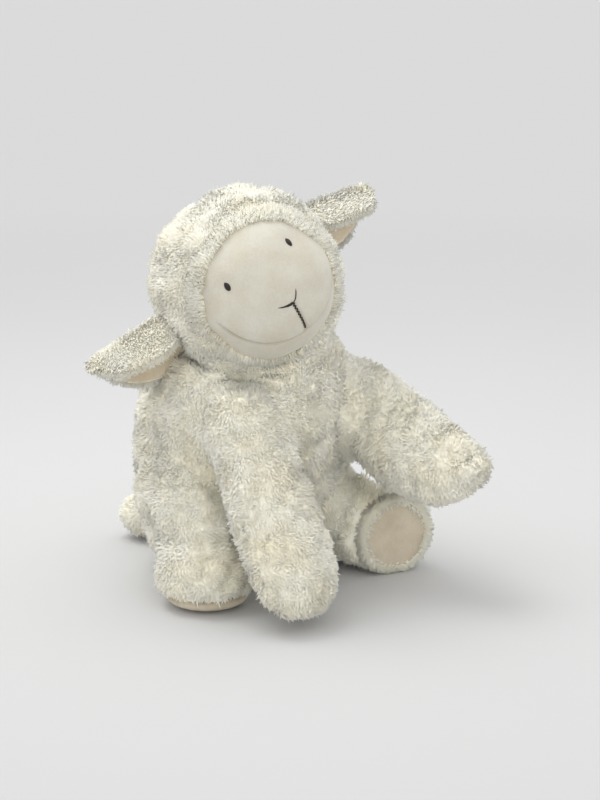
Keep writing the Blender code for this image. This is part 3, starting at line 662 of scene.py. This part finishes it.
mouthNormal = Vector((0, math.sin(mouthSlope), -math.cos(mouthSlope)))
mouthPoint = Vector((0, -face["mouthForward"], -face["mouthDrop"]))


def faceWay(spread, lift):  # a direction from the face's centre, in the face's own axes
    spread, lift = math.radians(spread), math.radians(lift)
    return Vector((math.sin(spread) * math.cos(lift), -math.cos(spread) * math.cos(lift), math.sin(lift)))


def bell(x, width):
    return np.exp(-(x / width) ** 2)


def step(x, low, high):
    t = np.clip((x - low) / (high - low), 0, 1)
    return t * t * (3 - 2 * t)


def shapeFace(co):  # eyes pulled in, a bridge above the muzzle, a stitched stem and the mouth's seam
    way = unit(co / np.array(face["half"]))
    front = step(-way[:, 1], 0.05, 0.5)
    depth = np.zeros(len(co))
    for side, sign in (("left", 1), ("right", -1)):
        eye = np.array(faceWay(sign * face["eyeSpread"][side], face["eyeRaise"]))
        off = np.linalg.norm(way - eye, axis=1) * relief["eye"]["radius"]
        depth += relief["eye"]["depth"] * bell(off, relief["eye"]["width"])
    below = (co - np.array(mouthPoint)) @ np.array(mouthNormal)
    reach = step(-co[:, 2], -0.006, 0.006)
    bridge, muzzle, mouth, chinStep = relief["bridge"], relief["muzzle"], relief["mouth"], relief["chin"]
    depth += front * bell(co[:, 2] - bridge["up"], bridge["width"]) * bridge["depth"]
    depth -= front * bell(below + muzzle["up"], muzzle["width"]) * muzzle["depth"] * reach
    depth += reach * (mouth["depth"] * bell(below, mouth["width"])
                      + chinStep["depth"] * step(below, 0.0, chinStep["width"]))
    along = step(-way[:, 2], 0.1, 0.2) * step(-below, 0, 0.002) * front
    stem, beside = relief["stem"], relief["besideStem"]
    depth += (stem["depth"] * bell(co[:, 0], stem["width"]) * along
              + beside["depth"] * bell(co[:, 0], beside["width"]) * along)
    for i, at in enumerate(co):
        depth[i] += relief["uneven"]["depth"] * noise.noise(Vector(at) / relief["uneven"]["width"])
    return co - way * depth[:, None]


def faceDome(name):
    bpy.ops.object.select_all(action="DESELECT")
    bpy.ops.mesh.primitive_uv_sphere_add(segments=300, ring_count=220, radius=1)
    dome = bpy.context.object
    dome.name = name
    co = points(dome)[:, [0, 2, 1]] * np.array([1, -1, 1])  # poles fore and aft
    setPoints(dome, shapeFace(co * np.array(face["half"])))
    return dome


def cutDome(dome, point, normal, keepAlong):  # keeps one side of a plane and closes the cut
    pickOnly(dome)
    bpy.ops.object.mode_set(mode="EDIT")
    bpy.ops.mesh.select_all(action="SELECT")
    bpy.ops.mesh.bisect(plane_co=point, plane_no=normal, use_fill=True, clear_inner=keepAlong,
                        clear_outer=not keepAlong)
    bpy.ops.mesh.select_all(action="SELECT")
    bpy.ops.mesh.normals_make_consistent(inside=False)
    bpy.ops.object.mode_set(mode="OBJECT")


def finishVelour(dome, replaced):
    dome.data.transform(facePlace)
    dome.data.update()
    pickOnly(dome)
    bpy.ops.object.shade_smooth_by_angle(angle=math.radians(60))
    dome.data.materials.append(faceVelour)
    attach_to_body(dome, "head")
    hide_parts(*replaced)
    return dome


wholeFace = faceDome("whole_face")
wholeFace.data.transform(facePlace)
faceTree = treeOf([wholeFace])
bpy.data.objects.remove(wholeFace)
faceTop, chin = faceDome("face_velour"), faceDome("chin_velour")
cutDome(faceTop, mouthPoint - mouthNormal * face["seam"], mouthNormal, False)
cutDome(faceTop, Vector((0, face["backEdge"], 0)), Vector((0, 1, 0)), False)
cutDome(chin, mouthPoint + mouthNormal * face["seam"], mouthNormal, True)
cutDome(chin, Vector((0, face["backEdge"], 0)), Vector((0, 1, 0)), False)
finishVelour(faceTop, ("face_panel", "muzzle_stuffing"))
finishVelour(chin, ("chin_panel",))

# the fleece's edge, sewn round the face and brushed over its seam
rim = {"edge": {"left": 0.0255, "top": 0.0205, "right": 0.0165, "chin": 0.0135}, "back": 0.004, "radius": 0.045,
       "rise": 0.0006, "uneven": 0.0016, "comb": -0.25}
rimCoat = {"seed": 31, "perSqMm": 1.0, "length": 0.0038, "thickness": 0.00075, "stand": 1.0, "crisp": 0.4, "stray": 1.2}
rimGround = faceDome("rim_ground")
applyModifier(rimGround, "DISPLACE", strength=rim["rise"], mid_level=0)


def offRim(f):  # whether a face of the dome lies outside the band along the fleece's edge
    x, y, z = f.calc_center_median() / rim["radius"]
    sideways = rim["edge"]["left"] if x > 0 else rim["edge"]["right"]
    upright = rim["edge"]["top"] if z > 0 else rim["edge"]["chin"]
    share = x * x / max(x * x + z * z, 1e-9)
    edge = sideways * share + upright * (1 - share) + rim["uneven"] * noise.noise(Vector((x, z, 0)) * 5)
    return not -edge < y * rim["radius"] < rim["back"]


dropFaces(rimGround, offRim)
rimGround.data.transform(facePlace)
rimGround.data.update()
rimComb = facePlace.to_3x3() @ Vector((0, rim["comb"], 0))
growCurls("rim_curls", rimGround, {**coatDefaults, **rimCoat, "comb": tuple(rimComb)},
          treeOf([nodes["body_fleece"]]), "head")
bpy.data.objects.remove(rimGround)
print("face done")


# Embroidery: satin stitches laid over the velour

def onFace(spread, lift):  # a point on the finished face and the way out of it
    way = facePlace.to_3x3() @ faceWay(spread, lift)
    return faceTree.ray_cast(facePlace.translation, way)[0], way


def strand(name, path, radius):  # one thread along a path, closed and narrowed at its ends
    curve = bpy.data.curves.new(name, "CURVE")
    curve.dimensions = "3D"
    curve.bevel_depth = radius
    curve.bevel_resolution = 1
    curve.use_fill_caps = True
    spline = curve.splines.new("POLY")
    spline.points.add(len(path) - 1)
    for index, (point, at) in enumerate(zip(spline.points, path)):
        point.co = (*at, 1)
        point.radius = 0.55 if index in (0, len(path) - 1) else 1
    made = bpy.data.objects.new(name, curve)
    bpy.context.scene.collection.objects.link(made)
    pickOnly(made)
    bpy.ops.object.convert(target="MESH")
    return bpy.context.object


def stitchesTo(name, rows, radius, replaced):
    strands = [strand(f"{name}_{i}", row, radius) for i, row in enumerate(rows)]
    made = joinInto(*strands) if len(strands) > 1 else strands[0]
    made.name = name
    smoothFaces(made)
    made.data.materials.clear()
    made.data.materials.append(thread)
    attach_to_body(made, "head")
    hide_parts(replaced)


def degreesFor(length):  # how far round the face a length runs
    return math.degrees(length / face["radius"])


eye = {"width": 0.0036, "height": 0.0052, "rows": 11, "crown": 0.0011, "thread": 0.00034, "overlap": 0.0003,
       "laid": -0.0001, "rooted": -0.0004, "tilt": 0.6}


def eyeRows(side, sign):  # level satin stitches stacked down an oval, crowned in its middle
    rows = []
    for k in range(eye["rows"]):
        v = (k + 0.5) / eye["rows"] * 2 - 1
        half = math.sqrt(1 - v * v) * eye["width"] / 2 + eye["overlap"]
        row = []
        for u in (-1, -0.6, 0, 0.6, 1):
            crown = eye["crown"] * (1 - v * v) * (1 - u * u)
            sideways = degreesFor(u * half) / math.cos(math.radians(face["eyeRaise"]))
            at, way = onFace(sign * face["eyeSpread"][side] + sideways,
                             face["eyeRaise"] + degreesFor(-v * eye["height"] / 2) + eye["tilt"] * u * sign)
            row.append(at + way * (crown + eye["laid"] if abs(u) < 1 else eye["rooted"]))
        rows.append(row)
    return rows


for side, sign in (("left", 1), ("right", -1)):
    stitchesTo(side + "_eye_stitches", eyeRows(side, sign), eye["thread"], side + "_eye")

nose = {"arms": {-1: (12.5, 4.0, 4, 0.00036), 1: (7.5, 8.0, 1, 0.00013)},  # sideways, raised, threads, thread radius
        "spacing": 1.5, "closing": 0.9, "stagger": 0.16, "curve": 1.5, "laid": 0.0002, "rooted": -0.0002}
lip = {"width": 0.0021, "narrowing": 0.3, "rows": 19, "thread": 0.0004, "start": 0.4, "slants": (-0.5, 1.1),
       "laid": 0.0005, "rooted": -0.0002}


def armRows(sign):  # long threads that fan out along one arm of the nose
    spread, raised, threads, radius = nose["arms"][sign]
    rows = []
    for k in range(threads):
        path = []
        for t in (0, 0.2, 0.4, 0.6, 0.8, 1):
            fan = degreesFor((k - (threads - 1) / 2) * radius * nose["spacing"] * (1 - nose["closing"] * t))
            end = 1 - nose["stagger"] * k if threads > 1 else 1
            at, way = onFace(sign * spread * t * end, -face["noseDrop"] + raised * (t * end) ** nose["curve"] + fan)
            path.append(at + way * (nose["laid"] * (1 - t) if 0 < t < 1 else nose["rooted"]))
        rows.append(path)
    return rows


def stemRows():  # short stitches that zigzag down the stem
    rows = []
    for k in range(lip["rows"]):
        t = k / (lip["rows"] - 1)
        half = lip["width"] / 2 * (1 - lip["narrowing"] * t)
        rise = -face["noseDrop"] - lip["start"] - (face["lipLength"] - lip["start"]) * t
        row = []
        for u in (-1, -0.4, 0.4, 1):
            at, way = onFace(degreesFor(u * half), rise + lip["slants"][k % 2] * u)
            row.append(at + way * (lip["laid"] if abs(u) < 1 else lip["rooted"]))
        rows.append(row)
    return rows


stitchesTo("nose_stitches", armRows(-1) + armRows(1), nose["arms"][-1][3], "nose_stitch")
stitchesTo("lip_stitches", stemRows(), lip["thread"], "lip_stitch")
print("embroidery done")


# Ears: a leaf folded lengthways, curly outside and velour inside

earShape = {
    "left": {"way": (0.972, 0.010, 0.235), "mouth": (0.03, -0.65, -0.77), "length": 0.053, "start": -0.007,
             "near": 0.0225, "far": 0.0265, "seed": 23},
    "right": {"way": (-0.814, 0.389, -0.43), "mouth": (0.06, -0.64, -0.766), "length": 0.057, "start": -0.006,
              "near": 0.0255, "far": 0.0295, "seed": 29}}
earSheet = {"along": 34, "across": 33, "foldRadius": 0.0046, "rootOpen": 16.0, "tipOpen": 30.0, "backing": 0.0044,
            "lining": 0.0014, "groundWidth": 1.04, "liningWidth": 0.96, "facing": (-0.66, -0.71, 0.26)}
earLeaf = {"root": 0.58, "swell": 0.42, "fullAt": 0.45, "near": (0.5, 3.2, 0.6), "far": (0.35, 2.2, 0.75),
           "behind": 0.009, "droop": 0.004, "sag": 0.0012}
earCoat = {"perSqMm": 1.0, "length": 0.0034, "thickness": 0.0006, "stand": 0.55, "overEdge": 0.5}
earEdge = {"perSqMm": 1.7, "length": 0.0032, "stand": 0.8, "stray": 1.3, "comb": (0, 0, -0.2)}


def closing(a, start, power, softness):  # how one side of the leaf narrows towards its point
    return max(0, 1 - (max(a - start, 0) / (1 - start)) ** power) ** softness


def earGrid(name, side, width):  # the middle surface of the folded leaf, its outside facing out
    own = earShape[side]
    root = Vector(joints[side + "_ear_flap"]["pos_m"])
    along = Vector(own["way"]).normalized()
    mouth = Vector(own["mouth"])
    mouth = (mouth - along * mouth.dot(along)).normalized()
    across = along.cross(mouth)
    if across.dot(Vector(earSheet["facing"])) < 0:
        across.negate()
    verts = []
    for i in range(earSheet["along"] + 1):
        a = i / earSheet["along"]
        leaf = earLeaf["root"] + earLeaf["swell"] * math.sin(min(a / earLeaf["fullAt"], 1) * math.pi / 2)
        blunt, tapered = closing(a, *earLeaf["near"]), closing(a, *earLeaf["far"])
        opened = math.radians(earSheet["rootOpen"] + (earSheet["tipOpen"] - earSheet["rootOpen"]) * a)
        for j in range(earSheet["across"] + 1):
            b = j / earSheet["across"] * 2 - 1
            run = abs(b) * leaf * width * (own["near"] * blunt if b < 0 else own["far"] * tapered)
            bend = earSheet["foldRadius"] * (math.pi / 2 - opened)
            psi = min(run, bend) / earSheet["foldRadius"]
            q = earSheet["foldRadius"] * math.sin(psi) + max(run - bend, 0) * math.sin(opened)
            p = earSheet["foldRadius"] * (1 - math.cos(psi)) + max(run - bend, 0) * math.cos(opened)
            sag = earLeaf["sag"] * math.sin(a * 7 + b * 2)
            droop = earLeaf["droop"] * a * a
            verts.append(root + along * (own["start"] + own["length"] * a) + mouth * (p - earLeaf["behind"] + droop)
                         + across * ((q if b < 0 else -q) + sag))
    rows = earSheet["across"] + 1
    faces = [(i * rows + j, i * rows + j + 1, (i + 1) * rows + j + 1, (i + 1) * rows + j)
             for i in range(earSheet["along"]) for j in range(earSheet["across"])]
    mesh = bpy.data.meshes.new(name)
    mesh.from_pydata(verts, [], faces)
    grid = bpy.data.objects.new(name, mesh)
    bpy.context.scene.collection.objects.link(grid)
    pickOnly(grid)
    bpy.ops.object.mode_set(mode="EDIT")
    bpy.ops.mesh.select_all(action="SELECT")
    bpy.ops.mesh.remove_doubles(threshold=0.00008)
    bpy.ops.object.mode_set(mode="OBJECT")
    middle = sum((f.normal * f.area for f in mesh.polygons), Vector())
    if middle.dot(mouth) > 0:
        mesh.flip_normals()
    return smoothFaces(grid)


for side in ("left", "right"):
    comb = tuple(Vector(earShape[side]["mouth"]) * earCoat["overEdge"])
    coat = {**coatDefaults, **earCoat, "seed": earShape[side]["seed"], "comb": comb}
    ground = earGrid(side + "_ear_ground", side, earSheet["groundWidth"])
    backing = earGrid(side + "_ear_coat", side, 1.0)
    lining = earGrid(side + "_ear_velour", side, earSheet["liningWidth"])
    edge = earGrid(side + "_ear_edge", side, 1.0)
    for _ in range(2):  # the second slot marks the faces of the rim
        edge.data.materials.append(fleece)
    applyModifier(edge, "SOLIDIFY", thickness=earSheet["backing"], offset=1, material_offset_rim=1)
    dropFaces(edge, lambda f: f.material_index == 0)
    applyModifier(ground, "DISPLACE", strength=earSheet["backing"], mid_level=0)
    applyModifier(backing, "SOLIDIFY", thickness=earSheet["backing"], offset=1)
    applyModifier(lining, "SOLIDIFY", thickness=earSheet["lining"], offset=-1)
    others = [nodes[n] for n in bodyNodes["head"] + bodyNodes["torso"]]
    growCurls(side + "_ear_curls", ground, coat, treeOf(others), side + "_ear")
    growCurls(side + "_ear_edge_curls", edge, {**coat, **earEdge}, treeOf(others), side + "_ear")
    bpy.data.objects.remove(ground)
    bpy.data.objects.remove(edge)
    backing.data.materials.append(fleece)
    lining.data.materials.append(liningVelour)
    for piece, replaced, slot in ((backing, side + "_ear_fleece", "fleece"), (lining, side + "_ear_lining", "velour")):
        applyModifier(piece, "SUBSURF", levels=1, render_levels=1)
        smoothFaces(piece)
        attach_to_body(piece, side + "_ear")
        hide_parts(replaced)
    setShares(backing, np.full(len(backing.data.vertices), 0.4), np.full(len(backing.data.vertices), 0.5))
print("ears done")


# Soles: velour discs gathered under the feet, the left one with a rolled hem of fleece round it

soleShape = {"left": {"puff": 0.0002, "rim": True}, "right": {"puff": 0.0016, "rim": False}}
soleSheet = {"voxel": 0.0012, "smooth": 14, "overFloor": 0.0004}
soleRim = {"round": 0.0030, "inward": 0.0040, "behind": 0.0028, "around": 96, "across": 12, "near": 0.2, "comb": 0.35}
soleCoat = {"seed": 37, "perSqMm": 1.2, "length": 0.0036, "stand": 0.9, "stray": 0.9}


def rimOfSole(name, nodeName):  # a rolled hem along the outline of a sole
    at, out = soleEdge(nodeName)
    co = points(nodes[nodeName]) - at
    side = unit(np.cross(out, [[0.3, 0.2, 0.9]]))[0]
    other = np.cross(out, side)
    angle = np.arctan2(co @ other, co @ side)
    far = np.linalg.norm(co - np.outer(co @ out, out), axis=1)
    turns = np.arange(soleRim["around"]) / soleRim["around"] * 2 * math.pi
    radius = np.array([far[np.abs((angle - t + math.pi) % (2 * math.pi) - math.pi) < soleRim["near"]].max()
                       for t in turns])
    verts = []
    for t, r in zip(turns, radius - soleRim["inward"]):
        way = side * math.cos(t) + other * math.sin(t)
        for k in range(soleRim["across"]):
            lean = 2 * math.pi * k / soleRim["across"]
            verts.append(at + way * (r + soleRim["round"] * math.cos(lean))
                         + out * (soleRim["round"] * math.sin(lean) - soleRim["behind"]))
    rows, count = soleRim["across"], soleRim["around"]
    faces = [(i * rows + k, (i + 1) % count * rows + k, (i + 1) % count * rows + (k + 1) % rows,
              i * rows + (k + 1) % rows) for i in range(count) for k in range(rows)]
    mesh = bpy.data.meshes.new(name)
    mesh.from_pydata([tuple(v) for v in verts], [], faces)
    ring = bpy.data.objects.new(name, mesh)
    bpy.context.scene.collection.objects.link(ring)
    if normalsOf(ring)[0] @ side < 0:  # the first point faces out along side
        mesh.flip_normals()
    setShares(ring, np.full(len(verts), 0.5), np.full(len(verts), 0.5))
    mesh.materials.append(fleece)
    return smoothFaces(ring)


for side in ("left", "right"):
    sole = copyOfNode(side + "_sole_velour", side + "_sole")
    applyModifier(sole, "REMESH", mode="VOXEL", voxel_size=soleSheet["voxel"])
    largestIsland(sole)
    applyModifier(sole, "DISPLACE", strength=soleShape[side]["puff"], mid_level=0)
    applyModifier(sole, "SMOOTH", factor=0.5, iterations=soleSheet["smooth"])
    co = points(sole)
    co[:, 2] = np.maximum(co[:, 2], soleSheet["overFloor"])
    setPoints(sole, co)
    smoothFaces(sole)
    sole.data.materials.append(soleVelour)
    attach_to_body(sole, side + "_leg")
    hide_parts(side + "_sole")
    if soleShape[side]["rim"]:
        ring = rimOfSole(side + "_sole_rim", side + "_sole")
        coat = {**coatDefaults, **soleCoat, "comb": tuple(soleEdge(side + "_sole")[1] * soleRim["comb"])}
        growCurls(side + "_sole_curls", ring, coat, treeOf([nodes[side + "_arm_fleece"]]), side + "_leg",
                  inside=[formTrees[side + "_leg"], treeOf([sole])])
        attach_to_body(ring, side + "_leg")
print("soles done")


# Floor, light and camera

# the floor's second, darker grey is painted shade round the toy
studio = {"floor": "#d4d4d4", "floorNear": "#cacaca", "floorSize": 60, "nearTo": 0.4, "farFrom": 1.3,
          "worldStrength": 1.06,
          "key": {"power": 1.35, "size": 0.9, "place": (-0.2, 0.42, 1.3), "aim": (0.05, 0.0, 0.0), "spread": 62.0},
          "fill": {"power": 0.05, "size": 0.3, "place": (-2.04, -2.2, 0.5), "aim": (0, -0.03, 0.12), "spread": 12.0}}
cameraView = {"lens": 100.0, "target": (0.0154, -0.0417, 0.1125), "back": (-0.659, -0.706, 0.259), "far": 1.378,
              "sensor": 36.0}

bpy.ops.object.select_all(action="DESELECT")
bpy.ops.mesh.primitive_plane_add(size=studio["floorSize"])
floor = bpy.context.object
floor.name = "floor"
floorMaterial, floorTree, floorShader = newMaterial("paleBackdropPaper", {"Roughness": 0.9, "Specular IOR Level": 0.1})
place = addNode(floorTree, "ShaderNodeTexCoord")
far = addNode(floorTree, "ShaderNodeVectorMath", {"operation": "LENGTH"}, {0: place.outputs["Object"]})
share = addNode(floorTree, "ShaderNodeMapRange", {"From Min": studio["nearTo"], "From Max": studio["farFrom"]},
                {"Value": far.outputs["Value"]})
# painted shade: the paper is greyer round the toy than far from it
shadedPaper = addNode(floorTree, "ShaderNodeMix", {"data_type": "RGBA"}, {0: share.outputs["Result"]})
shadedPaper.inputs[6].default_value = hexColour(studio["floorNear"])
shadedPaper.inputs[7].default_value = hexColour(studio["floor"])
floorTree.links.new(shadedPaper.outputs[2], floorShader.inputs["Base Color"])
floor.data.materials.append(floorMaterial)


def areaLight(name, own):
    lamp = bpy.data.lights.new(name, "AREA")
    lamp.energy, lamp.size, lamp.spread = own["power"], own["size"], math.radians(own["spread"])
    made = bpy.data.objects.new(name, lamp)
    bpy.context.scene.collection.objects.link(made)
    made.location = own["place"]
    made.rotation_euler = (Vector(own["place"]) - Vector(own["aim"])).to_track_quat("Z", "Y").to_euler()


areaLight("key", studio["key"])
areaLight("fill", studio["fill"])
world = bpy.data.worlds.new("studio")
bpy.context.scene.world = world
world.use_nodes = True
world.node_tree.nodes["Background"].inputs["Color"].default_value = (1, 1, 1, 1)
world.node_tree.nodes["Background"].inputs["Strength"].default_value = studio["worldStrength"]

cameraData = bpy.data.cameras.new("camera")
cameraData.lens = cameraView["lens"]
cameraData.sensor_fit = "VERTICAL"
cameraData.sensor_height = cameraView["sensor"]
camera = bpy.data.objects.new("camera", cameraData)
bpy.context.scene.collection.objects.link(camera)
back = Vector(cameraView["back"]).normalized()
camera.location = Vector(cameraView["target"]) + back * cameraView["far"]
camera.rotation_euler = back.to_track_quat("Z", "Y").to_euler()
bpy.context.scene.camera = camera

bpy.context.scene.view_settings.view_transform = "Standard"
bpy.context.view_layer.update()
